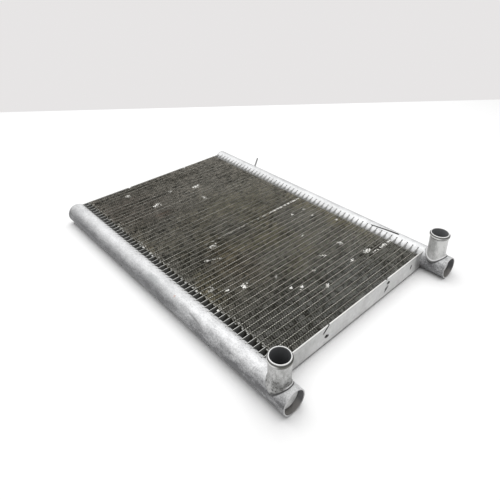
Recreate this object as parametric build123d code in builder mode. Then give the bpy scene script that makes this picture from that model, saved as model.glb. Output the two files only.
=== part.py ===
"""Engine radiator: a core of flat tubes and fin rows brazed between two round header tanks.

The radiator lies on its tanks. X runs along the flat tubes, Y along the tanks from the hose end to
the capped end, Z up. The origin is on the floor under the middle of the radiator. Millimetres.
"""

import os
from math import cos, radians, sin

from build123d import *

# Header tanks
tank_spacing = 354.0
tank_margin = 2.5
tank_wall = 1.5
tank_length = 567.0
tank_seat_offset = 5.0
port_diameter = 25.0
port_clearance = 0.5

# Flat tubes, and how far each tank slot runs on past them
tube_thickness = 1.8
tube_width = 30.0
tube_wall = 0.35
tube_entry = 1.0
slot_overcut = 1.3

# Fin rows
fin_space = 8.0
fin_proud = 0.2
fin_setback = 22.0
fin_slant = 3.0

# Side plates: the near one's place and the least room left beyond the far one
plate_thickness = 1.5
plate_proud = 0.5
plate_reach = 40.7
far_margin = 5.0

# Relief cuts that let each side plate stretch after brazing: a slit and a hole near each quarter,
# placed from where the cut meets the top edge
cut_width = 1.8
cut_length = 15.0
cut_hole = 4.0
first_cut_x = -68.0
first_slit_place = (-5.0, -5.0)
first_slit_angle = 40
first_hole_place = (-4.0, -17.0)
second_cut_x = 66.0
second_notch = 5.0
second_slit_place = (1.5, -13.5)
second_slit_angle = 58
second_hole_place = (5.0, -8.0)

# Narrow slot beside the right tank
tab_slot_x = 134.0
tab_slot_rise = 1.5
tab_slot_height = 6.0
tab_slot_angle = 80

# Tank ends
plug_recess = 8.0
plug_thickness = 2.5
plug_bend = 1.2
cap_thickness = 3.0
cap_bend = 1.6

# Hose spigots
spigot_wall = 1.5
spigot_top = 72.7
spigot_reach = 24.0
saddle_width = 2.2
saddle_sheet = 1.4
bead_height = 1.6
bead_width = 5.0
bead_crown = 2.0
bead_drop = 4.2

# Locating pin on the outer side of the right tank
pin_diameter = 3.4
pin_length = 18.5
pin_angle = 64.0
pin_reach = 456.0
pin_tip_bevel = 0.6

# Scrap of rubber seal on top of the right tank
scrap_length = 50.0
scrap_wide = 2.6
scrap_narrow = 0.6
scrap_thickness = 0.9
scrap_reach = 92.0
scrap_offset = 0.5
scrap_drift = 7.0

# Clearance of every brazed seat, and rows and tubes to a node
braze_gap = 0.05
tubes_per_node = 2
rows_per_node = 3

# Worked-out sizes and places
tank_diameter = tube_width + 2 * tank_margin
tank_radius = tank_diameter / 2
tank_bore = tank_radius - tank_wall
axis_z = tank_radius
near_end = -tank_length / 2
far_end = tank_length / 2
tube_pitch = tube_thickness + fin_space
core_start = near_end + plate_reach + plate_thickness + braze_gap
core_room = far_end - far_margin - plate_thickness - braze_gap - core_start
tube_count = int((core_room - fin_space) / tube_pitch)
core_width = tube_count * tube_pitch + fin_space
core_end = core_start + core_width
tube_length = tank_spacing - 2 * (tank_seat_offset - tube_entry)
spigot_y = near_end + spigot_reach
spigot_radius = port_diameter / 2 + spigot_wall
seat_radius = tank_radius + braze_gap
fin_depth = tube_width + 2 * fin_proud
plate_height = tube_width + 2 * plate_proud
full_turn = 360


def tank_x(side):
    """X of a tank's axis: side is -1 for the left tank and 1 for the right one."""
    return side * tank_spacing / 2


def tube_y(index):
    """Y of the middle of a flat tube, counted from the hose end."""
    return core_start + fin_space + tube_thickness / 2 + index * tube_pitch


def row_y(index):
    """Y of the middle of a fin row, counted from the hose end."""
    return core_start + fin_space / 2 + index * tube_pitch


def header_tank(side):
    """Tank tube with a slot for every flat tube and a port under its hose spigot.

    Along the core the bore has a flat that gives each flat tube a deep seat. It is fully round at
    the hose end, where the plug and the port are.
    """
    length = tank_length - cap_thickness
    x = tank_x(side)
    seat_x = x - side * tank_seat_offset
    with BuildPart() as tank:
        with BuildSketch(Plane.XZ.offset(-near_end)):
            with Locations((x, axis_z)):
                Circle(tank_radius)
        extrude(amount=-length)
        with BuildSketch(Plane.XZ.offset(-core_start)):
            with Locations((x, axis_z)):
                Circle(tank_bore)
            with Locations((seat_x - side * tank_bore, axis_z)):
                Rectangle(2 * tank_bore, 2 * tank_bore, mode=Mode.SUBTRACT)
        extrude(amount=-length, mode=Mode.SUBTRACT)
        with BuildSketch(Plane.XZ.offset(-near_end)):
            with Locations((x, axis_z)):
                Circle(tank_bore)
        extrude(amount=near_end - core_start, mode=Mode.SUBTRACT)
        # Slots in the side that faces the core
        with BuildSketch(Plane.YZ.offset(seat_x)):
            with Locations([(tube_y(i), axis_z) for i in range(tube_count)]):
                Rectangle(tube_thickness + 2 * braze_gap, tube_width + 2 * slot_overcut)
        extrude(amount=-side * tank_diameter, mode=Mode.SUBTRACT)
        # Port in the top of the wall
        with BuildSketch(Plane.XY.offset(axis_z)):
            with Locations((x, spigot_y)):
                Circle(port_diameter / 2 + port_clearance)
        extrude(amount=tank_diameter, mode=Mode.SUBTRACT)
    return tank


def end_plug(side):
    """Plug brazed a little way inside the tank at the hose end."""
    with BuildPart() as plug:
        with BuildSketch(Plane.XZ.offset(-(near_end + plug_recess))):
            with Locations((tank_x(side), axis_z)):
                Circle(tank_bore - braze_gap)
        extrude(amount=-(plug_thickness - braze_gap))
        chamfer(plug.faces().sort_by(Axis.Y)[0].edges(), plug_bend)
    return plug


def far_cap(side):
    """Disc that closes the tank's other end."""
    with BuildPart() as cap:
        with BuildSketch(Plane.XZ.offset(-(far_end - cap_thickness + braze_gap))):
            with Locations((tank_x(side), axis_z)):
                Circle(tank_radius)
        extrude(amount=-(cap_thickness - braze_gap))
        chamfer(cap.faces().sort_by(Axis.Y)[-1].edges(), cap_bend)
    return cap


def hose_spigot(side):
    """Hose pipe with a rolled bead, standing on a saddle that follows the tank."""
    place = (tank_x(side), spigot_y)
    with BuildPart() as spigot:
        # Saddle flange: a disc seen from above, wrapped on the tank
        with BuildSketch(Plane.XY.offset(axis_z)):
            with Locations(place):
                Circle(spigot_radius + saddle_width)
        extrude(amount=tank_radius + saddle_sheet)
        with BuildSketch(Plane.XZ.offset(-near_end)):
            with Locations((tank_x(side), axis_z)):
                Circle(seat_radius + saddle_sheet)
        extrude(amount=-tank_length, mode=Mode.INTERSECT)
        # Pipe
        with BuildSketch(Plane.XY.offset(axis_z)):
            with Locations(place):
                Circle(spigot_radius)
        extrude(amount=spigot_top - axis_z)
        # Rolled bead that holds the hose
        wall_x = tank_x(side) + spigot_radius
        bead_z = spigot_top - bead_drop
        with BuildSketch(Plane.XZ.offset(-spigot_y)):
            Polygon(
                (wall_x, bead_z - bead_width / 2),
                (wall_x + bead_height, bead_z - bead_crown / 2),
                (wall_x + bead_height, bead_z + bead_crown / 2),
                (wall_x, bead_z + bead_width / 2),
                (wall_x - spigot_wall / 2, bead_z),
                align=None,
            )
        revolve(axis=Axis((*place, 0), (0, 0, 1)), revolution_arc=full_turn)
        # Seat on the tank, then the bore
        with BuildSketch(Plane.XZ.offset(-near_end)):
            with Locations((tank_x(side), axis_z)):
                Circle(seat_radius)
        extrude(amount=-tank_length, mode=Mode.SUBTRACT)
        with BuildSketch(Plane.XY.offset(axis_z)):
            with Locations(place):
                Circle(port_diameter / 2)
        extrude(amount=spigot_top, mode=Mode.SUBTRACT)
    return spigot


def relief_slit(place, angle, cuts_face):
    """Cuts a slanted slit from the open sketch, mirrored when cuts_face is -1."""
    with Locations((cuts_face * place[0], place[1])):
        Rectangle(cut_length, cut_width, rotation=cuts_face * angle, mode=Mode.SUBTRACT)


def relief_hole(place, diameter, cuts_face):
    """Cuts a round hole from the open sketch, mirrored when cuts_face is -1."""
    with Locations((cuts_face * place[0], place[1])):
        Circle(diameter / 2, mode=Mode.SUBTRACT)


def side_plate(outer_y, cuts_face):
    """Flat plate that closes the core, coped round both tanks and cut to let it stretch.

    cuts_face is 1 for cuts that run as on the hose side and -1 for their mirror image.
    """
    top = axis_z + plate_height / 2
    with BuildPart() as plate:
        with BuildSketch(Plane.XZ.offset(-outer_y)):
            with Locations((0, axis_z)):
                Rectangle(tank_spacing, plate_height)
            with Locations((tank_x(-1), axis_z), (tank_x(1), axis_z)):
                Circle(seat_radius, mode=Mode.SUBTRACT)
            with Locations((cuts_face * first_cut_x, top)):
                relief_slit(first_slit_place, first_slit_angle, cuts_face)
                relief_hole(first_hole_place, cut_hole, cuts_face)
            with Locations((cuts_face * second_cut_x, top)):
                relief_hole((0, 0), second_notch, cuts_face)
                relief_slit(second_slit_place, second_slit_angle, cuts_face)
                relief_hole(second_hole_place, cut_hole, cuts_face)
            with Locations((cuts_face * tab_slot_x, axis_z + tab_slot_rise)):
                Rectangle(
                    tab_slot_height,
                    cut_width,
                    rotation=cuts_face * tab_slot_angle,
                    mode=Mode.SUBTRACT,
                )
        extrude(amount=-plate_thickness)
    return plate


def flat_tubes(first, count):
    """Flat water tubes, each one a separate solid."""
    with BuildPart() as tubes:
        with BuildSketch(Plane.YZ.offset(-tube_length / 2)):
            with Locations([(tube_y(first + i), axis_z) for i in range(count)]):
                Rectangle(tube_thickness, tube_width)
                Rectangle(
                    tube_thickness - 2 * tube_wall,
                    tube_width - 2 * tube_wall,
                    mode=Mode.SUBTRACT,
                )
        extrude(amount=tube_length)
    return tubes


def fin_rows(first, count):
    """Rows of folded fin between the tubes. The last fold at each end leans over."""
    half = tank_spacing / 2 - fin_setback
    reach = fin_space / 2 - braze_gap
    with BuildPart() as rows:
        with BuildSketch(Plane.XY.offset(axis_z - fin_depth / 2)):
            with Locations([(0, row_y(first + i)) for i in range(count)]):
                Polygon(
                    (-half, -reach),
                    (half - fin_slant, -reach),
                    (half, reach),
                    (-half + fin_slant, reach),
                    align=None,
                )
        extrude(amount=fin_depth)
    return rows


def locating_pin():
    """Plain pin standing out of the upper outer side of the right tank."""
    lean = radians(pin_angle)
    outwards = Vector(cos(lean), 0, sin(lean))
    foot = Vector(tank_x(1), near_end + pin_reach, axis_z)
    with BuildPart() as pin:
        with BuildSketch(Plane(origin=foot, x_dir=(0, 1, 0), z_dir=outwards)):
            Circle(pin_diameter / 2)
        extrude(amount=tank_radius + pin_length)
        tip = pin.faces().filter_by(GeomType.PLANE).sort_by(Axis.Z)[-1]
        chamfer(tip.edges(), pin_tip_bevel)
        with BuildSketch(Plane.XZ.offset(-near_end)):
            with Locations((tank_x(1), axis_z)):
                Circle(seat_radius)
        extrude(amount=-tank_length, mode=Mode.SUBTRACT)
    return pin


def seal_scrap():
    """Tapered scrap of rubber seal lying along the top of the right tank."""
    start = near_end + scrap_reach
    x = tank_x(1) + scrap_offset
    with BuildPart() as scrap:
        with BuildSketch(Plane.XZ.offset(-near_end)):
            with Locations((tank_x(1), axis_z)):
                Circle(seat_radius + scrap_thickness)
                Circle(seat_radius, mode=Mode.SUBTRACT)
        extrude(amount=-tank_length)
        with BuildSketch(Plane.XY.offset(axis_z)):
            with BuildLine():
                Polyline(
                    (x - scrap_wide / 2, start),
                    (x + scrap_wide / 2, start),
                    (x - scrap_drift + scrap_narrow / 2, start + scrap_length),
                    (x - scrap_drift - scrap_narrow / 2, start + scrap_length),
                    close=True,
                )
            make_face()
        extrude(amount=tank_diameter, mode=Mode.INTERSECT)
    return scrap


def both(make):
    """The left and the right copy of a piece, as two separate solids of one node."""
    left = make(-1)
    right = make(1)
    with BuildPart() as pair:
        add(left.part)
        add(right.part)
    return pair


def save(built, label):
    """Labels a finished piece and writes it to its own file."""
    built.part.label = label
    export_step(built.part, f"parts/{label}.step")


os.makedirs("parts", exist_ok=True)

# Tanks, and the pairs of pieces that close and feed them
save(header_tank(-1), "left_header_tank")
save(header_tank(1), "right_header_tank")
save(both(end_plug), "end_plugs")
save(both(far_cap), "far_caps")
save(both(hose_spigot), "hose_spigots")

# Side plates outside the first and the last fin row
save(side_plate(core_start - braze_gap - plate_thickness, 1), "near_side_plate")
save(side_plate(core_end + braze_gap, -1), "far_side_plate")

# Core
for node, first in enumerate(range(0, tube_count, tubes_per_node), 1):
    save(flat_tubes(first, min(tubes_per_node, tube_count - first)), f"flat_tubes_{node:02d}")
row_count = tube_count + 1
for node, first in enumerate(range(0, row_count, rows_per_node), 1):
    save(fin_rows(first, min(rows_per_node, row_count - first)), f"fin_rows_{node:02d}")

# Small pieces on the right tank
save(locating_pin(), "locating_pin")
save(seal_scrap(), "seal_scrap")
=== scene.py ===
"""Dressed scene of an engine radiator lying on a pale floor.

The file is laid out as an add-on and run as a script. Lengths are in metres, in the frame of the
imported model: X along the flat tubes, Y from the hose end to the capped end, Z up.
"""

from functools import reduce
from math import atan2, cos, pi, radians, sin, sqrt
from random import Random

import bmesh
import bpy
from bpy.props import FloatProperty, FloatVectorProperty, IntProperty, PointerProperty
from mathutils import Matrix, Vector, noise


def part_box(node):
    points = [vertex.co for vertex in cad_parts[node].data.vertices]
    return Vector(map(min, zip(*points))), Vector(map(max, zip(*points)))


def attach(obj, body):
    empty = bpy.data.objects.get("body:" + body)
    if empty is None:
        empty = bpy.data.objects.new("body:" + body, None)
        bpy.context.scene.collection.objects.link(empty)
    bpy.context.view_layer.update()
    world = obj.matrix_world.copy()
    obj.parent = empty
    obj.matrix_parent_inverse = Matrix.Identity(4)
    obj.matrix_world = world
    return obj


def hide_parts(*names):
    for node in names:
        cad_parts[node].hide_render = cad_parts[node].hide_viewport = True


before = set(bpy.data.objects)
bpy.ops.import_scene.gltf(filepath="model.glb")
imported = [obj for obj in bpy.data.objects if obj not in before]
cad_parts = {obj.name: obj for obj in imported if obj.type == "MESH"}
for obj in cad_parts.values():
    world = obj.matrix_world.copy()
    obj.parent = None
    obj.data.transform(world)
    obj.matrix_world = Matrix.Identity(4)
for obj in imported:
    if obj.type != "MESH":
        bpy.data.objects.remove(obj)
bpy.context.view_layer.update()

bl_info = {
    "name": "Engine radiator",
    "version": (1, 0, 0),
    "blender": (4, 5, 0),
    "location": "View3D > Sidebar > Radiator",
    "description": "Dresses the packed model of an engine radiator",
    "category": "Object",
}

MM = 0.001

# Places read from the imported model
FIN_NODES = sorted(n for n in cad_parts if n.startswith("fin_rows"))
TUBE_NODES = sorted(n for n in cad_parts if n.startswith("flat_tubes"))
FIN_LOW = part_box(FIN_NODES[0])[0]
FIN_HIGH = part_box(FIN_NODES[-1])[1]
TUBE_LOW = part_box(TUBE_NODES[0])[0]
TUBE_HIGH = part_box(TUBE_NODES[-1])[1]
TANK_LOW, TANK_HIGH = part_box("left_header_tank")
TANK_RADIUS = (TANK_HIGH[0] - TANK_LOW[0]) / 2
TANK_X = -(TANK_LOW[0] + TANK_HIGH[0]) / 2
AXIS_Z = (TANK_LOW[2] + TANK_HIGH[2]) / 2
NEAR_END = TANK_LOW[1]
CAP_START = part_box("far_caps")[0][1]
SPIGOT_LOW, SPIGOT_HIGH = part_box("hose_spigots")
SPIGOT_Y = (SPIGOT_LOW[1] + SPIGOT_HIGH[1]) / 2
SPIGOT_TOP = SPIGOT_HIGH[2]
PLATE_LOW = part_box("near_side_plate")[0][2]
PLATE_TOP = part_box("near_side_plate")[1][2]
CORE_TOP = FIN_HIGH[2]

# Sides of the radiator as signs of X
SIDES = ((-1, "left"), (1, "right"))

# Turn of the view from +Y towards +X, which the shading round the spigots follows too
VIEW_YAW = radians(41.92)

# Patches of flattened fin on the core, in millimetres and degrees: middle X and Y, half length,
# half width, turn, and how bright the bare metal is. The last three are lines pressed along a row.
FLAT_PATCHES = (
    (-8, -191, 5.25, 3, 20, 0.9),
    (66, -179, 4.5, 3, -15, 1.0),
    (104, -180, 8.5, 4, 10, 1.0),
    (-39, -168, 5.25, 2.4, 40, 0.9),
    (-50, -158, 5, 2.2, 0, 0.9),
    (3, -156, 3, 2, 0, 0.5),
    (42, -140, 4.5, 2.6, -50, 0.9),
    (89, -137, 5, 4, 20, 0.55),
    (-49, -126, 4.2, 2, 60, 0.35),
    (-97, -109, 6, 4, 15, 1.0),
    (-122, -101, 3, 2.4, -20, 1.0),
    (-138, -83, 6.3, 3.5, 30, 0.25),
    (61, -80, 2.4, 1.6, 15, 0.8),
    (143, -88, 2.6, 1.8, 0, 0.9),
    (97, -23, 2.6, 2.4, 25, 0.8),
    (126, -24, 2.6, 1.8, 0, 0.7),
    (122, -49, 3.5, 1.6, 0, 0.6),
    (-70, 1, 8, 2.6, 10, 0.7),
    (-94, -28, 15, 1.4, -25, 0.5),
    (-64, 177, 8, 3.4, 15, 1.0),
    (34, 187, 7.5, 3, 5, 1.0),
    (19, 140, 4.2, 3, 40, 0.75),
    (-16, 204, 4.5, 3, -10, 0.4),
    (-88, 245, 6, 3.6, 20, 0.7),
    (-157, -124, 2.4, 2, 0, 1.0),
    (-154, -226, 3, 2.6, 0, 0.7),
    (100, 10.1, 62, 1.5, 0, 0.9),
    (134, -189.2, 24, 2.2, 0, 1.0),
    (-20, 10.1, 55, 1.0, 0, 0.18),
)

# Cuts in the side plates, in millimetres and degrees: X, depth below the top edge, half length,
# half width and turn
PLATE_CUTS = (
    (-73, 5, 8.4, 1.8, 40),
    (-71.2, 18.2, 4.6, 2.6, -15),
    (67, 18.5, 6.4, 1.8, 42),
    (70.4, 9.0, 4.4, 2.5, -15),
    (134, 14, 4.2, 1.9, 70),
)

# Bent fin tips beside the left tank, as ranges in millimetres
TIP_REACH = (-0.5, 6.0)
TIP_ASIDE = (-2.6, 2.6)
TIP_DEPTH = (0.8, 2.2)
TIP_WIDTH = (2.2, 4.2)

# How far below the core's top the bent edge of the fin sheet begins
BEND_DEPTH = 3.5 * MM

# About the reach of a saddle from its spigot's axis, by which places round it are counted
SADDLE_REACH = 16 * MM

# Radius of the small flat that closes the middle of a turned end
POLE = 0.4 * MM

# Flat facets round a plug or a cap, and round a spigot
END_SEGMENTS = 72
SPIGOT_SEGMENTS = 96


class RadiatorCoreSizes(bpy.types.PropertyGroup):
    """Sizes of the fin strips and the flat tubes."""

    fold_pitch: FloatProperty(
        name="Fold pitch", description="Length of one fold of the fin along the tube",
        default=3.75 * MM, precision=5, unit="LENGTH",
    )
    fin_sheet: FloatProperty(
        name="Fin sheet", description="Thickness of the fin sheet",
        default=0.15 * MM, precision=5, unit="LENGTH",
    )
    fin_sway: FloatProperty(
        name="Fin sway", description="How far the upper edges of the folds are bent about",
        default=0.45 * MM, precision=5, unit="LENGTH",
    )
    row_pitch: FloatProperty(
        name="Row pitch", description="Distance from one flat tube to the next",
        default=9.8 * MM, precision=5, unit="LENGTH",
    )
    rows: IntProperty(name="Rows", description="Number of fin rows", default=53)
    tube_thickness: FloatProperty(
        name="Tube thickness", description="Thickness of a flat tube",
        default=1.8 * MM, precision=5, unit="LENGTH",
    )


class RadiatorSpigotSizes(bpy.types.PropertyGroup):
    """Sizes of the hose spigots and their saddles."""

    bore_radius: FloatProperty(
        name="Bore radius", description="Radius of the spigot's bore",
        default=12.5 * MM, precision=5, unit="LENGTH",
    )
    wall: FloatProperty(
        name="Wall", description="Wall of the spigot", default=1.5 * MM, precision=5, unit="LENGTH",
    )
    bead_height: FloatProperty(
        name="Bead height", description="How far the rolled bead stands out",
        default=1.55 * MM, precision=5, unit="LENGTH",
    )
    bead_drop: FloatProperty(
        name="Bead drop", description="From the lip to the middle of the bead",
        default=3.7 * MM, precision=5, unit="LENGTH",
    )
    saddle_radius: FloatProperty(
        name="Saddle radius", description="Outer radius of the saddle seen from above",
        default=16.15 * MM, precision=5, unit="LENGTH",
    )
    saddle_sheet: FloatProperty(
        name="Saddle sheet", description="Thickness of the saddle on the tank",
        default=1.3 * MM, precision=5, unit="LENGTH",
    )


class RadiatorFinishes(bpy.types.PropertyGroup):
    """Colours of the finishes."""

    aluminium: FloatVectorProperty(
        name="Aluminium", description="Clean satin aluminium of the tanks",
        default=(0.84, 0.845, 0.85), subtype="COLOR", min=0, max=1,
    )
    # Grey film, which also gives the painted shade on the tanks' flanks
    film_and_flank_shade: FloatVectorProperty(
        name="Stain", description="Grey film on the aluminium",
        default=(0.135, 0.135, 0.14), subtype="COLOR", min=0, max=1,
    )
    road_dirt: FloatVectorProperty(
        name="Road dirt", description="Dirt caked in the core",
        default=(0.080, 0.076, 0.058), subtype="COLOR", min=0, max=1,
    )
    rubber: FloatVectorProperty(
        name="Rubber", description="Scrap of rubber seal",
        default=(0.03, 0.03, 0.028), subtype="COLOR", min=0, max=1,
    )


class RadiatorStageSizes(bpy.types.PropertyGroup):
    """Camera, wall and light."""

    camera_place: FloatVectorProperty(
        name="Camera place", description="Where the camera stands",
        default=(-0.45363, -0.52162, 0.49021), subtype="TRANSLATION",
    )
    camera_yaw: FloatProperty(
        name="Camera yaw", description="Turn of the view from +Y towards +X",
        default=VIEW_YAW, subtype="ANGLE",
    )
    camera_pitch: FloatProperty(
        name="Camera pitch", description="Rise of the view above level",
        default=radians(-26.934), subtype="ANGLE",
    )
    camera_roll: FloatProperty(
        name="Camera roll", description="Roll of the camera about its view",
        default=radians(-0.766), subtype="ANGLE",
    )
    focal_pixels: FloatProperty(
        name="Focal length", description="Focal length in pixels of a 500 pixel frame",
        default=476.0,
    )
    frame_pixels: FloatProperty(
        name="Frame", description="Width of the frame in pixels", default=500.0,
    )
    frame_drop: FloatProperty(
        name="Frame drop", description="Pixels by which the frame is shifted down", default=75.0,
    )
    sky_light: FloatProperty(
        name="Sky light", description="Strength of the even light", default=0.5,
    )
    wall_colour: FloatVectorProperty(
        name="Wall colour", description="What the camera sees behind the floor",
        default=(0.80, 0.785, 0.785), subtype="COLOR", min=0, max=1,
    )
    lamp_power: FloatProperty(
        name="Lamp power", description="Power of the overhead panel", default=27.0, unit="POWER",
    )
    lamp_width: FloatProperty(
        name="Lamp width", description="Side of the square overhead panel",
        default=2.2, unit="LENGTH",
    )
    lamp_place: FloatVectorProperty(
        name="Lamp place", description="Middle of the overhead panel, which faces the origin",
        default=(0.1, 0.2, 1.6), subtype="TRANSLATION",
    )


# Shader values written as arithmetic


class Wire:
    """A shader value that adds Math nodes when it is used in an expression."""

    def __init__(self, graph, socket):
        self.graph = graph
        self.socket = socket

    def math(self, operation, *values):
        """A Math node on these values."""
        return self.graph.node("ShaderNodeMath", {"operation": operation}, dict(enumerate(values)))

    def __add__(self, other):
        return self.math("ADD", self, other)

    def __radd__(self, other):
        return self.math("ADD", other, self)

    def __sub__(self, other):
        return self.math("SUBTRACT", self, other)

    def __rsub__(self, other):
        return self.math("SUBTRACT", other, self)

    def __mul__(self, other):
        return self.math("MULTIPLY", self, other)

    def __rmul__(self, other):
        return self.math("MULTIPLY", other, self)

    def __truediv__(self, other):
        return self.math("DIVIDE", self, other)

    def size(self):
        return self.math("ABSOLUTE", self)

    def most(self, other):
        return self.math("MAXIMUM", self, other)

    def least(self, other):
        return self.math("MINIMUM", self, other)

    def held(self):
        """Held between 0 and 1."""
        return self.most(0.0).least(1.0)

    def wave(self, period):
        """From 0 to 1 and back once every period."""
        return 0.5 + 0.5 * self.math("SINE", self * (2 * pi / period))

    def step(self, low, high):
        """0 below low, 1 above high and smooth between. It falls where low is above high."""
        return self.graph.node(
            "ShaderNodeMapRange",
            {"interpolation_type": "SMOOTHSTEP"},
            {"Value": self, "From Min": low, "From Max": high},
        )


class Graph:
    """The nodes of a material or of the world while they are written."""

    def __init__(self, owner):
        owner.use_nodes = True
        self.tree = owner.node_tree
        self.tree.nodes.clear()

    def node(self, kind, settings=None, values=None, output=0):
        """A node with its settings, and then the values or wires of its sockets."""
        made = self.tree.nodes.new(kind)
        for key, value in (settings or {}).items():
            setattr(made, key, value)
        for key, value in (values or {}).items():
            if isinstance(value, Wire):
                self.tree.links.new(value.socket, made.inputs[key])
            else:
                made.inputs[key].default_value = value
        return Wire(self, made.outputs[output]) if made.outputs else None


class Finish(Graph):
    """A material being written, on the piece's own Object coordinates in metres."""

    def __init__(self, name):
        self.material = bpy.data.materials.new(name)
        super().__init__(self.material)
        self.place = self.node("ShaderNodeTexCoord", output="Object")
        axes = self.node("ShaderNodeSeparateXYZ", {}, {0: self.place}).socket.node
        self.x, self.y, self.z = (Wire(self, axis) for axis in axes.outputs)

    def mix(self, factor, first, second):
        """Colour between first and second."""
        return self.node(
            "ShaderNodeMix", {"data_type": "RGBA"},
            {0: factor, 6: rgba(first), 7: rgba(second)}, output=2,
        )

    def cloud(self, scale, detail=3.0, stretch=(1, 1, 1), rough=0.5, shift=(0, 0, 0)):
        """Noise from 0 to 1 whose blotches are about 1 / scale metres across."""
        place = self.node(
            "ShaderNodeMapping", {}, {"Vector": self.place, "Scale": stretch, "Location": shift},
        )
        return self.node(
            "ShaderNodeTexNoise", {},
            {"Vector": place, "Scale": scale, "Detail": detail, "Roughness": rough},
        )

    def apart(self, across, along):
        """Distance of a point that lies across and along from a middle."""
        square = across * across + along * along
        return square.math("SQRT", square)

    def on_right(self):
        """0 on the left half of the radiator and 1 on the right."""
        return self.x.step(-50 * MM, 50 * MM)

    def spot(self, x, y, length, width=None, soft=0.4):
        """1 inside a round or oval spot seen from above, in millimetres, up to its soft share."""
        across = (self.x - x * MM) / (length * MM)
        along = (self.y - y * MM) / ((width or length) * MM)
        return self.apart(across, along).step(1.0, soft)

    def line(self, start, end, width):
        """1 on a straight line seen from above, in millimetres."""
        fade = 2
        run = Vector(end) - Vector(start)
        ahead = run.normalized()
        across = (self.x - start[0] * MM) * -ahead.y + (self.y - start[1] * MM) * ahead.x
        along = (self.x - start[0] * MM) * ahead.x + (self.y - start[1] * MM) * ahead.y
        inside = along.step(0.0, fade * MM) * along.step(run.length * MM, (run.length - fade) * MM)
        return across.size().step(width * MM, 0.3 * width * MM) * inside

    def from_spigot(self):
        """Distance from the axis of the nearer hose spigot."""
        return self.apart(self.x.size() - TANK_X, self.y - SPIGOT_Y)

    def round_spigot(self):
        """Place round a spigot: -1 on its left and 1 on its right as the camera sees it."""
        across = self.x - (2.0 * self.on_right() - 1.0) * TANK_X
        along = self.y - SPIGOT_Y
        return (across * cos(VIEW_YAW) - along * sin(VIEW_YAW)) / SADDLE_REACH

    def joint_shade_side(self):
        """1 where shade is painted in the joint round a saddle: not on its left as the camera sees
        it.
        """
        return (self.round_spigot() + 0.25 + 0.30 * self.on_right()).step(-0.75, -0.2)

    def from_tank(self):
        """Distance from the axis of the nearer tank."""
        return self.apart(self.x.size() - TANK_X, self.z - AXIS_Z)

    def finish(self, colour, roughness, metallic, bump=None, depth=0.0):
        """The finished material. A bump is as deep as depth."""
        values = {"Base Color": colour, "Roughness": roughness, "Metallic": metallic}
        if bump is not None:
            values["Normal"] = self.node(
                "ShaderNodeBump", {}, {"Height": bump, "Distance": depth, "Strength": 0.6},
            )
        surface = self.node("ShaderNodeBsdfPrincipled", {}, values)
        self.node("ShaderNodeOutputMaterial", {}, {"Surface": surface})
        return self.material


def rgba(colour):
    """Colour with its fourth number, or a wire as it is."""
    return colour if isinstance(colour, Wire) else (*tuple(colour)[:3], 1.0)


# Finishes


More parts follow.
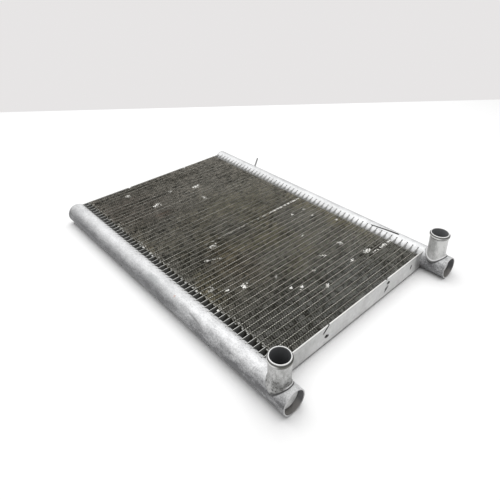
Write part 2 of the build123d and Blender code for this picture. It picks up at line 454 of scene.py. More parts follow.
def tank_finish(finishes):
    """Satin aluminium with blotches of grey film, its top painted pale and its flanks painted in
    shade, both changed near the hose end.
    """
    g = Finish("tank_aluminium")
    broad = g.cloud(24, 3, (1, 0.45, 1)) - 0.5
    blotch = g.cloud(95, 6, (1, 0.6, 1), rough=0.66) - 0.5
    streak = g.cloud(150, 4, (1, 0.12, 1), rough=0.6) - 0.5
    fine = g.cloud(560, 4, rough=0.6)
    right = g.on_right()
    hose_end = g.y.step(NEAR_END + 48 * MM, NEAR_END + 26 * MM)
    # Painted light and shade: paler where the skin faces up, with the right tank's hose end leaning
    # outwards
    lean = 1.0 - 2.0 * right * hose_end
    painted_light_facing = 0.9 * (g.z - AXIS_Z) - 0.45 * lean * (g.x.size() - TANK_X)
    top = painted_light_facing.step(-0.36 * TANK_RADIUS, 0.88 * TANK_RADIUS)
    # Painted shade on the right tank's outer side
    outer_side_shade = right * (g.x - TANK_X).step(-2 * MM, 6 * MM)
    tone = 0.02 + 0.80 * top * (1.0 - 0.2 * hose_end) - 0.2 * outer_side_shade + 0.5 * broad
    rough_end = 0.45 + 0.55 * g.y.step(-20 * MM, -160 * MM)
    tone = tone + rough_end * (1.2 * blotch + 0.8 * streak)
    tone = tone + 1.1 * (fine - 0.5) + 0.06 * right + (0.14 - 0.12 * right) * hose_end
    colour = g.mix(tone.held(), finishes.film_and_flank_shade, finishes.aluminium)
    # Pits all over, and a long scratch on the left tank
    pits = fine.step(0.66, 0.74) * g.cloud(60, 2, shift=(0.5, 0, 0)).step(0.5, 0.62)
    scratch = 0.35 * g.line((-185, -84), (-190.8, -134), 0.8)
    scratch = scratch.most(g.line((-187.6, -97), (-190.2, -126), 1.0))
    scratch = scratch * fine.step(0.35, 0.55)
    colour = g.mix((0.55 * pits).most(0.6 * scratch), colour, (0.10, 0.10, 0.10))
    # Painted shade where the tanks meet the floor, and a brown and a grey stain on the left tank
    floor_contact_shade = g.z.step(7.0 * MM, 3.5 * MM)
    colour = g.mix(0.85 * floor_contact_shade, colour, (0.02, 0.02, 0.02))
    colour = g.mix(0.5 * g.spot(-184.7, -58.6, 2.2), colour, (0.55, 0.26, 0.18))
    colour = g.mix(0.35 * g.spot(-185, -4, 6, 22), colour, (0.28, 0.30, 0.30))
    # Painted shade in the seam round the saddle, and the cap's dark seam
    saddle_seam_shade = g.from_spigot().step(17.5 * MM, 16.5 * MM) * g.z.step(AXIS_Z, AXIS_Z + 3 * MM)
    saddle_seam_shade = saddle_seam_shade * g.joint_shade_side()
    cap_seam = (g.y - CAP_START).size().step(0.5 * MM, 0.2 * MM)
    colour = g.mix((0.92 * saddle_seam_shade).most(0.5 * cap_seam), colour, (0.035, 0.035, 0.035))
    # Painted shade on the wall in front of the plug, and a painted highlight on the sawn rim
    inside = g.from_tank().step(TANK_RADIUS - 1.2 * MM, TANK_RADIUS - 1.5 * MM)
    recess = g.y.step(NEAR_END + 16 * MM, NEAR_END + 10 * MM)
    low = g.z.step(11 * MM, 4 * MM)
    wall = g.mix(low, (0.13, 0.13, 0.135), (0.26, 0.25, 0.24))
    colour = g.mix(inside, colour, g.mix(recess, (0.05, 0.05, 0.05), wall))
    rim_highlight = g.y.step(NEAR_END + 0.5 * MM, NEAR_END + 0.2 * MM)
    colour = g.mix(0.8 * rim_highlight, colour, (0.62, 0.62, 0.62))
    return g.finish(colour, 0.46 + 0.12 * fine, 0.25, fine + blotch, 0.25 * MM)


def plug_finish(finishes):
    """Dull plug face with painted shade in a ring round it."""
    g = Finish("plug_aluminium")
    film = 0.35 * g.cloud(90, 4).step(0.4, 0.7) + 0.3 * g.cloud(700, 3).step(0.5, 0.8)
    shade = g.mix(film, (0.90, 0.90, 0.89), finishes.film_and_flank_shade)
    plug_ring_shade = g.from_tank().step(TANK_RADIUS - 3.7 * MM, TANK_RADIUS - 2.7 * MM)
    return g.finish(g.mix(0.9 * plug_ring_shade, shade, (0.05, 0.05, 0.05)), 0.5, 0.0)


def pin_finish():
    """Dull metal with blotches of film and a fine grain."""
    g = Finish("pin_metal")
    blotch = g.cloud(300, 4)
    fine = g.cloud(4200, 3)
    film = 0.5 * blotch.step(0.4, 0.7) + 0.2 * fine.step(0.5, 0.8)
    shade = g.mix(film.least(1.0), (0.40, 0.40, 0.40), (0.2, 0.2, 0.2))
    return g.finish(shade, 0.45 + 0.12 * fine, 0.3, fine, 0.12 * MM)


def spigot_finish(sizes):
    """Drawn aluminium: bright lip, streaked body painted lighter and darker round its sides and low
    down, painted shade in the grooves by the bead, and dirt spots near the saddle.
    """
    g = Finish("spigot_aluminium")
    streak = g.cloud(170, 5, (1, 1, 0.45), rough=0.65) - 0.5
    spots = g.cloud(330, 3, shift=(0.4, 0, 0))
    fine = g.cloud(900, 2)
    right = g.on_right()
    left = 1.0 - right
    side = g.round_spigot()
    low = g.z.step(SPIGOT_TOP - 14 * MM, 2 * TANK_RADIUS + 2 * MM)
    # Painted light and shade: the right spigot lighter on its right as the camera sees it, the left
    # one darker low down and lighter low on its left
    tone = 0.67 + 0.04 * right - 0.46 * low * left + (0.20 + 0.34 * side) * right
    tone = tone + 0.35 * left * low * side.step(-0.3, -0.8)
    tone = tone + 1.5 * streak + 0.5 * (fine - 0.5)
    colour = g.mix(tone.held(), (0.12, 0.12, 0.115), (0.70, 0.70, 0.69))
    grime = (1.0 - 0.9 * right) * (0.2 + 0.65 * low) * spots.step(0.54, 0.60)
    colour = g.mix(grime, colour, (0.08, 0.08, 0.075))
    # The bead, with a painted highlight on the camera's left, between two grooves painted dark with
    # shade, and the lip
    above_bead = g.z - SPIGOT_TOP + sizes.bead_drop
    upper_groove_shade = (above_bead - 1.9 * MM).size().step(0.8 * MM, 0.45 * MM)
    lower_groove_shade = (above_bead + 2.3 * MM).size().step(1.0 * MM, 0.5 * MM)
    ring = g.mix(right, (0.105, 0.105, 0.085), (0.30, 0.30, 0.29))
    ring = g.mix(side.step(-0.05, -0.5), ring, (0.76, 0.76, 0.74))
    colour = g.mix(0.9 * above_bead.size().step(1.9 * MM, 1.4 * MM), colour, ring)
    colour = g.mix(0.9 * upper_groove_shade.most(lower_groove_shade), colour, (0.04, 0.04, 0.035))
    lip = g.z.step(SPIGOT_TOP - 1.1 * MM, SPIGOT_TOP - 0.6 * MM)
    colour = g.mix(lip, colour, (0.86, 0.86, 0.85))
    # The saddle's edge, with a painted highlight on top and painted shade where it meets the tank
    below = above_bead.step(-6 * MM, -8 * MM)
    edge = sizes.saddle_radius
    rim_highlight = below * g.from_spigot().step(edge - 1.6 * MM, edge - 0.9 * MM)
    bright = (0.9 * right).most(0.75 * side.step(0.15, 0.55))
    colour = g.mix(bright * rim_highlight, colour, (0.84, 0.84, 0.84))
    saddle_foot_shade = below * g.from_spigot().step(edge - 0.35 * MM, edge - 0.05 * MM) * g.joint_shade_side()
    colour = g.mix(0.85 * saddle_foot_shade, colour, (0.04, 0.04, 0.04))
    # Painted shade inside the bore, lighter in the right spigot
    bore = g.from_spigot().step(sizes.bore_radius + 0.35 * MM, sizes.bore_radius + 0.15 * MM)
    bore = bore * g.z.step(SPIGOT_TOP - 0.4 * MM, SPIGOT_TOP - 1.4 * MM)
    colour = g.mix(bore, colour, g.mix(right, (0.14, 0.145, 0.15), (0.22, 0.225, 0.23)))
    return g.finish(colour, 0.42 + 0.3 * bore, 0.25, streak + 0.5 * fine, 0.2 * MM)


def plate_finish():
    """Rolled aluminium with a painted highlight on its upper edge, painted shade along its lower
    edge and by the tanks, and cuts painted dark with shade.
    """
    g = Finish("plate_aluminium")
    smear = g.cloud(30, 4, rough=0.6) - 0.5
    grain = g.cloud(170, 4) - 0.5
    fine = g.cloud(800, 2)
    # A painted highlight on the upper edge, a dark line under it and painted shade along the lower
    # edge
    edge = g.z.step(PLATE_TOP - 1.5 * MM, PLATE_TOP - 0.9 * MM)
    under = (g.z - PLATE_TOP + 2.3 * MM).size().step(0.9 * MM, 0.3 * MM)
    low = g.z.step(PLATE_LOW + 2.0 * MM, PLATE_LOW + 1.1 * MM)
    # Painted shade at the plate's ends beside the tanks
    shade_by_tanks = g.x.size().step(142 * MM, 152 * MM)
    left_part = g.x.step(-80 * MM, -115 * MM)
    right_part = g.x.step(60 * MM, 110 * MM)
    tone = 0.64 + 0.55 * smear + 0.35 * grain + 0.2 * (fine - 0.5)
    tone = tone - 0.4 * shade_by_tanks - 0.14 * left_part + 0.07 * right_part
    colour = g.mix(tone.held(), (0.20, 0.20, 0.195), (0.86, 0.86, 0.85))
    colour = g.mix((0.25 * under).most(0.85 * low), colour, (0.07, 0.07, 0.07))
    colour = g.mix(0.8 * edge, colour, (0.88, 0.88, 0.86))
    # The cuts are painted near black with the shade seen through them, the far plate's as the near
    # one's mirror image
    mirrored = g.x * (1.0 - 2.0 * g.y.step(-1 * MM, 1 * MM))
    cut_shade = reduce(Wire.most, [plate_cut(g, mirrored, *place) for place in PLATE_CUTS])
    colour = g.mix(0.93 * cut_shade, colour, (0.012, 0.012, 0.012))
    return g.finish(colour, 0.48, 0.2, fine, 0.12 * MM)


def plate_cut(g, along, x, drop, length, width, turn):
    """1 inside an oval cut, by the place along a plate."""
    across, rise = along - x * MM, g.z - PLATE_TOP + drop * MM
    ahead = across * cos(radians(turn)) + rise * sin(radians(turn))
    aside = rise * cos(radians(turn)) - across * sin(radians(turn))
    return g.apart(ahead / (length * MM), aside / (width * MM)).step(1.12, 0.92)


def tube_finish(finishes, sizes):
    """Tube skin: noses with a painted highlight, worn and dotted by the folds, caked sides, and
    painted light and shade at the ends beside the tanks.
    """
    g = Finish("tube_aluminium")
    dust = g.cloud(75, 4, (0.35, 1, 1), rough=0.6)
    rows = g.cloud(60, 2, (0.08, 1, 0.1))
    fine = g.cloud(900, 2)
    # Painted highlight along the noses, worn and dotted by the folds
    nose_highlight = g.z.step(TUBE_HIGH[2] - 0.13 * MM, TUBE_HIGH[2] - 0.04 * MM)
    ends = g.x.size().step(FIN_HIGH[0] - 1 * MM, FIN_HIGH[0] + 1 * MM)
    far = g.y.step(-90 * MM, 120 * MM)
    dots = g.x.wave(sizes.fold_pitch).step(0.45, 0.85).most(ends)
    wear_and_highlight = (0.50 + 3.0 * (dust - 0.42) + 2.2 * (rows - 0.45) - 0.45 * far) * dots
    shade = g.mix(wear_and_highlight.held(), (0.07, 0.068, 0.058), (0.80, 0.79, 0.72))
    shade = g.mix(0.06 + 0.94 * nose_highlight, finishes.road_dirt, shade)
    # Beside the tanks the noses are painted pale on the left and dark on the right, and the sides
    # are painted with shade in the gaps, lighter on the right
    right = g.on_right()
    end_nose = g.mix(right, (0.66, 0.66, 0.64), (0.13, 0.13, 0.125))
    shade = g.mix(0.85 * nose_highlight * ends, shade, end_nose)
    end_side_shade = g.mix(right, (0.10, 0.10, 0.095), (0.42, 0.42, 0.41))
    shade = g.mix(ends * (1.0 - nose_highlight), shade, end_side_shade)
    return g.finish(shade, 0.55 + 0.15 * fine, 0.15, fine, 0.1 * MM)


def fold_run(sizes):
    """Number of folds in a fin strip, and where its first one begins."""
    folds = int((FIN_HIGH[0] - FIN_LOW[0]) / sizes.fold_pitch)
    return folds, (FIN_LOW[0] + FIN_HIGH[0] - folds * sizes.fold_pitch) / 2


def fin_finish(finishes, sizes):
    """Thin fin sheet caked with road dirt, with paler dusty upper edges that differ from fold to
    fold, and painted shade deeper in the core.
    """
    g = Finish("fin_aluminium")
    broad = g.cloud(8, 3) - 0.5
    blotch = g.cloud(48, 4, (0.7, 1, 1), rough=0.6) - 0.5
    rows = g.cloud(60, 2, (0.06, 1, 0.1), shift=(0, 0.3, 0)) - 0.5
    folds = g.cloud(230, 3, (1, 0.55, 0.2), rough=0.7) - 0.5
    fine = g.cloud(430, 3, rough=0.7)
    # Paler dust towards the upper edges, over dirt that also stands for painted shade deeper in the
    # core
    edge = g.z.step(CORE_TOP - 5.0 * MM, CORE_TOP - 0.4 * MM)
    ends = g.x.step(FIN_LOW[0] + 34 * MM, FIN_LOW[0] + 4 * MM)
    far = g.y.step(-60 * MM, 220 * MM)
    # The fold's two legs are painted lighter and darker, as lit and shaded walls
    turn = (g.x - fold_run(sizes)[1]) / sizes.fold_pitch
    leg_shade = turn.math("FRACT", turn).step(0.56, 0.44)
    dirt_and_depth_shade = g.mix(broad.step(-0.12, 0.12), finishes.road_dirt, (0.12, 0.114, 0.102))
    # Dust on the edges: olive, neutral near the hose end, paler at the far end, and stained
    drift = g.cloud(11, 2, shift=(0.2, 0.1, 0)).step(0.42, 0.6)
    olive = g.mix(drift, (0.54, 0.50, 0.38), (0.54, 0.52, 0.46))
    olive = g.mix(0.8 * g.y.step(-120 * MM, -200 * MM), olive, (0.50, 0.50, 0.475))
    dusty = g.mix(far, olive, (0.63, 0.595, 0.535))
    dusty = g.mix(0.5 * g.spot(-70, 143, 26, 14, 0.2), dusty, (0.34, 0.20, 0.14))
    dusty = g.mix(0.45 * g.spot(-75, -60, 60, 90, 0.1), dusty, (0.50, 0.40, 0.28))
    dusty = g.mix(0.6 * g.spot(-110, 200, 90, 90, 0.2), dusty, (0.46, 0.40, 0.36))
    dusty = g.mix(0.5 * g.spot(40, 90, 110, 60, 0.1), dusty, (0.56, 0.53, 0.40))
    amount = 0.46 + 0.55 * leg_shade + 1.2 * blotch + 0.6 * broad + 1.1 * rows + 4.4 * folds
    amount = amount + 3.2 * (fine - 0.5) + ends * (0.22 + 2.4 * folds)
    shade = g.mix((edge * amount).held(), dirt_and_depth_shade, dusty)
    bare = g.node("ShaderNodeAttribute", {"attribute_name": "bare"}, output=2)
    bare = bare * (1.2 + 3.0 * (fine - 0.5))
    shade = g.mix(bare.held(), shade, (0.90, 0.89, 0.84))
    return g.finish(shade, 0.6 + 0.2 * fine, 0.15)


def bright_fin_finish():
    """Bare folded fin: dull beside the tanks, bright where it was pressed flat."""
    g = Finish("bright_fin")
    fine = g.cloud(420, 3)
    patch = g.cloud(45, 2)
    shade = g.mix(fine.step(0.35, 0.65), (0.12, 0.118, 0.105), (0.52, 0.52, 0.49))
    shade = g.mix(patch.step(0.56, 0.62), shade, (0.78, 0.78, 0.76))
    bright = g.node("ShaderNodeAttribute", {"attribute_name": "bare"}, output=2)
    pressed = g.mix(fine.step(0.36, 0.52), (0.50, 0.49, 0.44), (0.96, 0.95, 0.91))
    pressed = g.mix(bright, (0.17, 0.165, 0.14), pressed)
    shade = g.mix(bright.step(0.01, 0.1), shade, pressed)
    return g.finish(shade, 0.4 + 0.2 * fine, 0.2)


def rubber_finish(finishes):
    """Matt rubber with a chalky film."""
    g = Finish("seal_rubber")
    fine = g.cloud(500, 3)
    shade = g.mix(0.35 * fine.step(0.45, 0.75), finishes.rubber, (0.12, 0.12, 0.115))
    return g.finish(shade, 0.75 + 0.1 * fine, 0.0, fine, 0.15 * MM)


# Shapes


def make_piece(name, shape, material, slot, *nodes, smooth=35):
    """Turns a finished bmesh into an object that rides on the radiator."""
    mesh = bpy.data.meshes.new(name)
    bmesh.ops.recalc_face_normals(shape, faces=shape.faces[:])
    shape.to_mesh(mesh)
    shape.free()
    if smooth:
        mesh.polygons.foreach_set("use_smooth", [True] * len(mesh.polygons))
        mesh.set_sharp_from_angle(angle=radians(smooth))
    piece = bpy.data.objects.new(name, mesh)
    bpy.context.scene.collection.objects.link(piece)
    mesh.materials.append(material)
    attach(piece, "root")
    if nodes:
        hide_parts(*nodes)
    return piece


def cad_copy(node):
    """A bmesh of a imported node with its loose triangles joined."""
    shape = bmesh.new()
    shape.from_mesh(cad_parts[node].data)
    bmesh.ops.remove_doubles(shape, verts=shape.verts[:], dist=1e-6)
    return shape


def grow(shape, edges):
    """Extrudes edges in place and gives the new vertices and the new edges."""
    made = bmesh.ops.extrude_edge_only(shape, edges=edges)["geom"]
    verts = [g for g in made if isinstance(g, bmesh.types.BMVert)]
    return verts, [g for g in made if isinstance(g, bmesh.types.BMEdge)]


def repeat(shape, shift, steps):
    """Adds that many copies of the whole shape, each shifted on from the one before."""
    whole = shape.verts[:] + shape.edges[:] + shape.faces[:]
    bmesh.ops.spin(
        shape, geom=whole, cent=(0, 0, 0), axis=(0, 0, 1), dvec=shift,
        angle=0, steps=steps, use_duplicate=True,
    )


def thicken(piece, sheet):
    """Gives thin fin sheet its thickness, half to either side."""
    wall = piece.modifiers.new("Sheet", "SOLIDIFY")
    wall.thickness = sheet
    wall.offset = 0


def turned(shape, rings, segments, place):
    """Skin through rings that each give a radius and a height for every angle."""
    loop = bmesh.ops.create_circle(shape, segments=segments, radius=1.0)["verts"]
    edges = shape.edges[:]
    for step, ring in enumerate(rings):
        if step:
            loop, edges = grow(shape, edges)
        for vert in loop:
            angle = atan2(vert.co.y, vert.co.x)
            radius, height = ring(angle)
            vert.co = (radius * cos(angle), radius * sin(angle), height)
    bmesh.ops.transform(shape, matrix=place, verts=shape.verts[:])


def level(radius, height):
    """A ring of one radius at one height."""
    return lambda angle: (radius, height)


def on_tank(radius, lift):
    """A ring that follows the tank's top, lift above its skin."""
    reach = TANK_RADIUS + lift
    return lambda angle: (radius, sqrt(reach ** 2 - (radius * cos(angle)) ** 2))


def rounded(radius, height, bend, start, end, steps=4):
    """Rings round an edge: from angle start to end about a centre, in degrees."""
    rings = []
    for i in range(steps + 1):
        angle = radians(start + (end - start) * i / steps)
        rings.append(level(radius + bend * cos(angle), height + bend * sin(angle)))
    return rings


def spigot_rings(sizes):
    """Rings of a spigot: up its bore, over the lip, down past the bead and out over the saddle."""
    bore = sizes.bore_radius
    skin = bore + sizes.wall
    top = SPIGOT_TOP - AXIS_Z
    lip = sizes.wall / 2 * 0.9
    bead_z = top - sizes.bead_drop
    bead_half = 1.9 * MM
    fillet = 0.3 * MM
    neck = 22 * MM
    sheet = sizes.saddle_sheet
    edge = sizes.saddle_radius
    on_skin = 0.05 * MM
    rings = [on_tank(bore, on_skin), level(bore, neck + 2 * MM)]
    rings += rounded(bore + lip, top - lip, lip, 180, 0, 6)
    rings += [level(skin, bead_z + bead_half + fillet)]
    bead_steps = 8
    for i in range(bead_steps + 1):
        angle = radians(90 - 180 * i / bead_steps)
        out, up = sizes.bead_height * cos(angle), bead_half * sin(angle)
        rings.append(level(skin + out, bead_z + up))
    rings += [level(skin, bead_z - bead_half - fillet)]
    rings += [level(skin, neck + 1.5 * MM), level(skin, neck)]
    return rings + [
        on_tank(skin, sheet + 1.1 * MM),
        on_tank(skin + 0.25 * MM, sheet + 0.5 * MM),
        on_tank(skin + 0.8 * MM, sheet + 0.15 * MM),
        on_tank(edge - 0.4 * MM, sheet),
        on_tank(edge, sheet - 0.35 * MM),
        on_tank(edge, on_skin),
    ]


def plug_rings(low, high):
    """Rings of a pressed cup, from its back to the middle of its face, for the box of the plugs."""
    radius = (high[2] - low[2]) / 2
    front, back = -low[1], -high[1]
    bend = 1.2 * MM
    return [
        level(radius - bend, back),
        level(radius, back),
        *rounded(radius - bend, front - bend, bend, 0, 90),
        level(radius - 2.4 * MM, front - 0.1 * MM),
        level(radius - 3.4 * MM, front - 0.8 * MM),
        level(radius - 6 * MM, front - 1.1 * MM),
        level(POLE, front - 1.3 * MM),
    ]


def cap_rings(low, high):
    """Rings of a domed cap, from the tank's end to the middle of the dome, for the caps' box."""
    front, back = -low[1], -high[1]
    bend = 1.6 * MM
    chamfer = 0.25 * MM
    return [
        level(TANK_RADIUS - 2 * MM, front),
        level(TANK_RADIUS - chamfer, front),
        level(TANK_RADIUS, front - chamfer),
        *rounded(TANK_RADIUS - bend, back + bend, bend, 0, -90),
        level(TANK_RADIUS - 6 * MM, back),
        level(POLE, back),
    ]


# Pieces


class RADIATOR_OT_header_tanks(bpy.types.Operator):
    """Finish both header tanks"""

    bl_idname = "radiator.header_tanks"
    bl_label = "Header tanks"

    def execute(self, context):
        skin = tank_finish(context.scene.radiator_finishes)
        for node in ("left_header_tank", "right_header_tank"):
            name = node.replace("header", "round")
            make_piece(name, cad_copy(node), skin, "tank_aluminium", node, smooth=28)
        return {"FINISHED"}


class RADIATOR_OT_tank_ends(bpy.types.Operator):
    """Make the recessed plugs and the domed caps of both tanks"""

    bl_idname = "radiator.tank_ends"
    bl_label = "Tank ends"

    def execute(self, context):
        face = plug_finish(context.scene.radiator_finishes)
        skin = bpy.data.materials["tank_aluminium"]
        kinds = (
            ("plug_cup", plug_rings(*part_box("end_plugs")), face, "plug_aluminium", "end_plugs"),
            ("domed_cap", cap_rings(*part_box("far_caps")), skin, "tank_aluminium", "far_caps"),
        )
        for side, name in SIDES:
            # The turned shape's Z becomes -Y, so heights grow towards the hose end
            lay = Matrix.Translation((side * TANK_X, 0, AXIS_Z)) @ Matrix.Rotation(pi / 2, 4, "X")
            for kind, rings, finish, slot, node in kinds:
                shape = bmesh.new()
                turned(shape, rings, END_SEGMENTS, lay)
                ends = [e for e in shape.edges if e.is_boundary]
                bmesh.ops.holes_fill(shape, edges=ends, sides=0)
                make_piece(f"{name}_{kind}", shape, finish, slot, node)
        return {"FINISHED"}


class RADIATOR_OT_hose_spigots(bpy.types.Operator):
    """Make both hose spigots with their rolled beads and saddles"""

    bl_idname = "radiator.hose_spigots"
    bl_label = "Hose spigots"

    def execute(self, context):
        sizes = context.scene.radiator_spigots
        skin = spigot_finish(sizes)
        for side, name in SIDES:
            shape = bmesh.new()
            place = Matrix.Translation((side * TANK_X, SPIGOT_Y, AXIS_Z))
            turned(shape, spigot_rings(sizes), SPIGOT_SEGMENTS, place)
            ends = [e for e in shape.edges if e.is_boundary]
            bmesh.ops.bridge_loops(shape, edges=ends)
            piece = f"{name}_beaded_spigot"
            make_piece(piece, shape, skin, "spigot_aluminium", "hose_spigots", smooth=40)
        return {"FINISHED"}


class RADIATOR_OT_side_plates(bpy.types.Operator):
    """Finish both side plates"""

    bl_idname = "radiator.side_plates"
    bl_label = "Side plates"

    def execute(self, context):
        skin = plate_finish()
        for node in ("near_side_plate", "far_side_plate"):
            shape = cad_copy(node)
            bmesh.ops.dissolve_limit(
                shape, angle_limit=radians(1), verts=shape.verts[:], edges=shape.edges[:],
            )
            rims = [e for e in shape.edges if e.is_manifold and e.calc_face_angle(0) > radians(60)]
            bmesh.ops.bevel(
                shape, geom=rims, offset=0.2 * MM, segments=2, profile=0.5,
                affect="EDGES", material=-1,
            )
            make_piece(node.replace("side", "closing"), shape, skin, "plate_aluminium", node)
        return {"FINISHED"}


class RADIATOR_OT_water_tubes(bpy.types.Operator):
    """Make the flat tubes with their round noses"""

    bl_idname = "radiator.water_tubes"
    bl_label = "Water tubes"

    def execute(self, context):
        sizes = context.scene.radiator_core
        radius = sizes.tube_thickness / 2
        height = TUBE_HIGH[2] - TUBE_LOW[2]
        shape = bmesh.new()
        # A circle across the tube, split at its middle into two noses
        facets = 12
        ring = bmesh.ops.create_circle(shape, cap_ends=True, segments=facets, radius=radius)["verts"]
        half_facet = Matrix.Rotation(pi / facets, 4, "Z")
        bmesh.ops.rotate(shape, verts=ring, cent=(0, 0, 0), matrix=half_facet)
        bmesh.ops.rotate(shape, verts=ring, cent=(0, 0, 0), matrix=Matrix.Rotation(pi / 2, 4, "Y"))
        for vert in ring:
            vert.co.z += (height / 2 - radius) * (1 if vert.co.z > 0 else -1)
        place = Vector((TUBE_LOW[0], TUBE_LOW[1] + radius, AXIS_Z))
        bmesh.ops.translate(shape, verts=ring, vec=place)
        grown = bmesh.ops.extrude_face_region(shape, geom=shape.faces[:])["geom"]
        ends = [g for g in grown if isinstance(g, bmesh.types.BMVert)]
        bmesh.ops.translate(shape, verts=ends, vec=(TUBE_HIGH[0] - TUBE_LOW[0], 0, 0))
        # One tube fewer than rows, and the first is made already
        repeat(shape, (0, sizes.row_pitch, 0), sizes.rows - 2)
        skin = tube_finish(context.scene.radiator_finishes, sizes)
        make_piece("round_nosed_tubes", shape, skin, "tube_aluminium", *TUBE_NODES, smooth=60)
        return {"FINISHED"}


def flattened(place, patch):
    """1 in the middle of a patch of flattened fins and 0 from its edge on."""
    x, y, length, width, turn, _ = patch
    across, along = place.x - x * MM, place.y - y * MM
    if abs(across) > length * 2 * MM or abs(along) > length * 2 * MM:
        return 0.0
    lean = radians(turn)
    run = (across * cos(lean) + along * sin(lean)) / (length * MM)
    side = (along * cos(lean) - across * sin(lean)) / (width * MM)
    return max(0.0, 1 - run * run - side * side)


class RADIATOR_OT_fin_strips(bpy.types.Operator):
    """Make the folded fin strips between the tubes"""

    bl_idname = "radiator.fin_strips"
    bl_label = "Fin strips"

    def execute(self, context):
        sizes = context.scene.radiator_core
        skin = fin_finish(context.scene.radiator_finishes, sizes)
        half = sizes.rows // 2
        for part, (first, count) in enumerate(((0, half), (half, sizes.rows - half)), 1):
            shape = self.strips(sizes, first, count)
            name = f"folded_fins_{part}"
            piece = make_piece(name, shape, skin, "fin_aluminium", *FIN_NODES, smooth=0)
            thicken(piece, sizes.fin_sheet)
        return {"FINISHED"}

    def strips(self, sizes, first, count):
        """Zigzag strips: one fold, copied along the row, then the row copied along the core."""
        pitch = sizes.fold_pitch
        folds, start = fold_run(sizes)
        near = FIN_LOW[1] + first * sizes.row_pitch + 0.05 * MM
        far = near + sizes.row_pitch - sizes.tube_thickness - 0.2 * MM
        low = FIN_LOW[2] + 0.1 * MM
        shape = bmesh.new()
        corners = [
            shape.verts.new((start, near, low)),
            shape.verts.new((start + pitch / 2, far, low)),
            shape.verts.new((start + pitch, near, low)),
        ]
        walls = [shape.edges.new(corners[:2]), shape.edges.new(corners[1:])]
        bend = CORE_TOP - BEND_DEPTH
        for height in (bend - low, CORE_TOP - 0.15 * MM - bend):
            raised, walls = grow(shape, walls)
            bmesh.ops.translate(shape, verts=raised, vec=(0, 0, height))
        for steps, shift in ((folds - 1, (pitch, 0, 0)), (count - 1, (0, sizes.row_pitch, 0))):
            repeat(shape, shift, steps)
            bmesh.ops.remove_doubles(shape, verts=shape.verts[:], dist=1e-6)
        self.wear(shape, sizes, bend)
        return shape

    def wear(self, shape, sizes, bend):
        """Bends the upper edges about, most at the row ends and in the flattened patches."""
        bare = shape.verts.layers.float.new("bare")
        frayed = 7 * MM
        for vert in shape.verts:
            if vert.co.z < bend + 1 * MM:
                continue
            place = vert.co.copy()
            # The factors of place are waves of noise per metre
            sway = noise.noise(place * 90) + 0.7 * noise.noise(place * 700)
            ragged = noise.noise(place * 260)
            chipped = abs(noise.noise(place * 400))
            at_end = max(0.0, (abs(place.x) - FIN_HIGH[0] + frayed) / frayed)
            flat = max(flattened(place, patch) for patch in FLAT_PATCHES)
            flat = max(0.0, min(1.0, 2.2 * flat * (0.55 + 1.5 * ragged)))
            vert.co.x += sizes.fin_sway * sway * (1 + 1.5 * at_end) + 2.2 * MM * flat
            vert.co.z -= 0.35 * MM * chipped + 1.0 * MM * flat
            vert.co.x = max(FIN_LOW[0], min(FIN_HIGH[0], vert.co.x))
            vert[bare] = max(flat, 0.5 * at_end * (0.5 + ragged))


class RADIATOR_OT_bent_fins(bpy.types.Operator):
    """Make the bent fin tips beside the left tank and those pressed flat on the core"""

    bl_idname = "radiator.bent_fins"
    bl_label = "Bent fins"

    def execute(self, context):
        sizes = context.scene.radiator_core
        skin = bright_fin_finish()
        draw = Random(7)
        shape = bmesh.new()
        shape.verts.layers.float.new("bare")
        first = FIN_LOW[1] + (sizes.row_pitch - sizes.tube_thickness) / 2
        for row in range(sizes.rows):
            for _ in range(draw.choice((1, 2, 2, 3))):
                place = Vector((
                    FIN_LOW[0] + draw.uniform(*TIP_REACH) * MM,
                    first + row * sizes.row_pitch + draw.uniform(*TIP_ASIDE) * MM,
                    CORE_TOP - draw.uniform(*TIP_DEPTH) * MM,
                ))
                width = draw.uniform(*TIP_WIDTH) * MM
                self.leaf(shape, place, draw, 2.0 * MM, width, 40)
        for patch in FLAT_PATCHES:
            self.press(shape, patch, draw)
        piece = make_piece("bent_fin_leaves", shape, skin, "fin_aluminium", smooth=80)
        thicken(piece, sizes.fin_sheet)
        return {"FINISHED"}

    def press(self, shape, patch, draw):
        """Fin tips pressed flat over one patch."""
        x, y, half_length, half_width, turn, bright = patch
        bare = shape.verts.layers.float["bare"]
        along = Vector((cos(radians(turn)), sin(radians(turn))))
        for _ in range(3 + round(0.75 * half_length * half_width)):
            ring, angle = 1.15 * draw.random(), draw.uniform(0, 2 * pi)
            reach = ring * cos(angle) * half_length * along
            reach += ring * sin(angle) * half_width * Vector((-along.y, along.x))
            place = Vector(((x + reach.x) * MM, (y + reach.y) * MM, CORE_TOP - 0.15 * MM))
            length = draw.uniform(0.8, 2.1) * MM
            width = draw.uniform(1.0, 1.8) * length
            for vert in self.leaf(shape, place, draw, length, width, 12):
                vert[bare] = bright

    def leaf(self, shape, place, draw, length, width, lean):
        """A small crumpled leaf of fin sheet that leans by up to lean degrees."""
        made = bmesh.ops.create_grid(shape, x_segments=3, y_segments=3, size=0.5)["verts"]
        spin = Matrix.Rotation(radians(draw.uniform(-35, 35)), 4, "Z")
        tilt = Matrix.Rotation(radians(draw.uniform(-lean, lean)), 4, "Y")
        for vert in made:
            crumple = 0.12 * noise.noise((vert.co + place * 900) * 3.1)
            vert.co = Vector((vert.co.x * length, vert.co.y * width, crumple * width))
        bmesh.ops.transform(shape, matrix=Matrix.Translation(place) @ spin @ tilt, verts=made)
        for vert in made:
            vert.co.z = min(vert.co.z, CORE_TOP - 0.02 * MM)
        return made


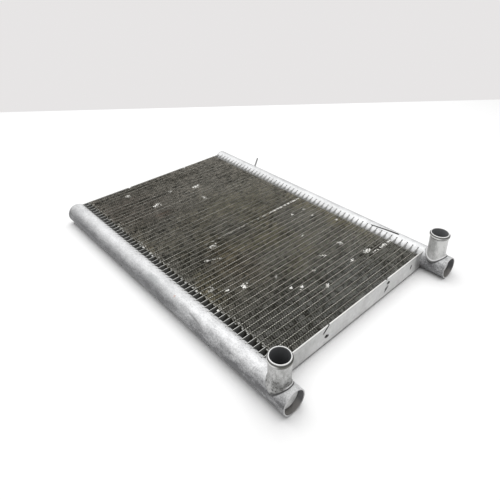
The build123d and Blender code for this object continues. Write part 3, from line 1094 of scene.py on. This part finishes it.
class RADIATOR_OT_small_pieces(bpy.types.Operator):
    """Finish the locating pin and the scrap of rubber seal"""

    bl_idname = "radiator.small_pieces"
    bl_label = "Small pieces"

    def execute(self, context):
        rubber = rubber_finish(context.scene.radiator_finishes)
        for node, skin in (("locating_pin", pin_finish()), ("seal_scrap", rubber)):
            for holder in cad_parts[node].material_slots:
                holder.material = skin
        return {"FINISHED"}


class RADIATOR_OT_stage(bpy.types.Operator):
    """Set the floor, the light and the camera"""

    bl_idname = "radiator.stage"
    bl_label = "Stage"

    def execute(self, context):
        sizes = context.scene.radiator_stage
        self.camera(context, sizes)
        self.floor()
        self.light(context, sizes)
        return {"FINISHED"}

    def camera(self, context, sizes):
        yaw, pitch, roll = sizes.camera_yaw, sizes.camera_pitch, sizes.camera_roll
        ahead = Vector((sin(yaw) * cos(pitch), cos(yaw) * cos(pitch), sin(pitch)))
        level_right = Vector((cos(yaw), -sin(yaw), 0))
        level_up = level_right.cross(ahead)
        right = level_right * cos(roll) + level_up * sin(roll)
        up = level_up * cos(roll) - level_right * sin(roll)
        lens = bpy.data.cameras.new("Camera")
        lens.sensor_width = 36.0
        lens.lens = sizes.focal_pixels / sizes.frame_pixels * lens.sensor_width
        lens.shift_y = -sizes.frame_drop / sizes.frame_pixels
        camera = bpy.data.objects.new("Camera", lens)
        turn = Matrix((right, up, -ahead)).transposed().to_4x4()
        camera.matrix_world = Matrix.Translation(sizes.camera_place) @ turn
        context.scene.collection.objects.link(camera)
        context.scene.camera = camera

    def floor(self):
        half_side = 6.0
        shape = bmesh.new()
        bmesh.ops.create_grid(shape, x_segments=8, y_segments=8, size=half_side)
        # The floor ends where the wall starts, behind the radiator
        wall_foot = (0.50, 0.57, 0)
        wall_facing = (0.64, 0.77, 0)
        bmesh.ops.bisect_plane(
            shape, geom=shape.verts[:] + shape.edges[:] + shape.faces[:],
            plane_co=wall_foot, plane_no=wall_facing, clear_outer=True,
        )
        mesh = bpy.data.meshes.new("Floor")
        shape.to_mesh(mesh)
        shape.free()
        floor = bpy.data.objects.new("Floor", mesh)
        bpy.context.scene.collection.objects.link(floor)
        g = Finish("floor_white")
        tone = g.cloud(3, 2)
        paper = g.mix(0.3 * tone, (1.0, 1.0, 1.0), (0.985, 0.985, 0.985))
        mesh.materials.append(g.finish(paper, 0.9, 0.0))

    def light(self, context, sizes):
        world = bpy.data.worlds.new("Studio")
        context.scene.world = world
        # The camera sees the wall's colour, and everything else is lit by an even sky
        g = Graph(world)
        seen = g.node("ShaderNodeLightPath", output="Is Camera Ray")
        seen = seen.most(g.node("ShaderNodeLightPath", output="Is Transmission Ray"))
        wall = g.node(
            "ShaderNodeBackground", {}, {"Color": rgba(sizes.wall_colour), "Strength": 1.0},
        )
        sky = g.node(
            "ShaderNodeBackground", {}, {"Color": (1, 1, 1, 1), "Strength": sizes.sky_light},
        )
        pick = g.node("ShaderNodeMixShader", {}, {0: seen, 1: sky, 2: wall})
        g.node("ShaderNodeOutputWorld", {}, {"Surface": pick})
        panel = bpy.data.lights.new("Panel", "AREA")
        panel.shape = "SQUARE"
        panel.size = sizes.lamp_width
        panel.energy = sizes.lamp_power
        lamp = bpy.data.objects.new("Panel", panel)
        lamp.location = sizes.lamp_place
        lamp.rotation_euler = (-lamp.location).to_track_quat("-Z", "Y").to_euler()
        context.scene.collection.objects.link(lamp)
        context.scene.view_settings.view_transform = "Standard"


class RADIATOR_PT_sidebar(bpy.types.Panel):
    """Sizes and finishes of the radiator"""

    bl_idname = "RADIATOR_PT_sidebar"
    bl_label = "Radiator"
    bl_space_type = "VIEW_3D"
    bl_region_type = "UI"
    bl_category = "Radiator"

    def draw(self, context):
        for group in GROUPS:
            box = self.layout.box()
            settings = getattr(context.scene, group)
            for key in GROUPS[group].__annotations__:
                box.prop(settings, key)
        for operator in OPERATORS:
            self.layout.operator(operator.bl_idname)


GROUPS = {
    "radiator_core": RadiatorCoreSizes,
    "radiator_spigots": RadiatorSpigotSizes,
    "radiator_finishes": RadiatorFinishes,
    "radiator_stage": RadiatorStageSizes,
}
OPERATORS = (
    RADIATOR_OT_header_tanks,
    RADIATOR_OT_tank_ends,
    RADIATOR_OT_hose_spigots,
    RADIATOR_OT_side_plates,
    RADIATOR_OT_water_tubes,
    RADIATOR_OT_fin_strips,
    RADIATOR_OT_bent_fins,
    RADIATOR_OT_small_pieces,
    RADIATOR_OT_stage,
)


def register():
    for name, group in GROUPS.items():
        bpy.utils.register_class(group)
        setattr(bpy.types.Scene, name, PointerProperty(type=group))
    for operator in OPERATORS:
        bpy.utils.register_class(operator)
    bpy.utils.register_class(RADIATOR_PT_sidebar)


def unregister():
    bpy.utils.unregister_class(RADIATOR_PT_sidebar)
    for operator in reversed(OPERATORS):
        bpy.utils.unregister_class(operator)
    for name, group in reversed(GROUPS.items()):
        delattr(bpy.types.Scene, name)
        bpy.utils.unregister_class(group)


def main():
    register()
    for operator in OPERATORS:
        area, call = operator.bl_idname.split(".")
        getattr(getattr(bpy.ops, area), call)()


if __name__ == "__main__":
    main()
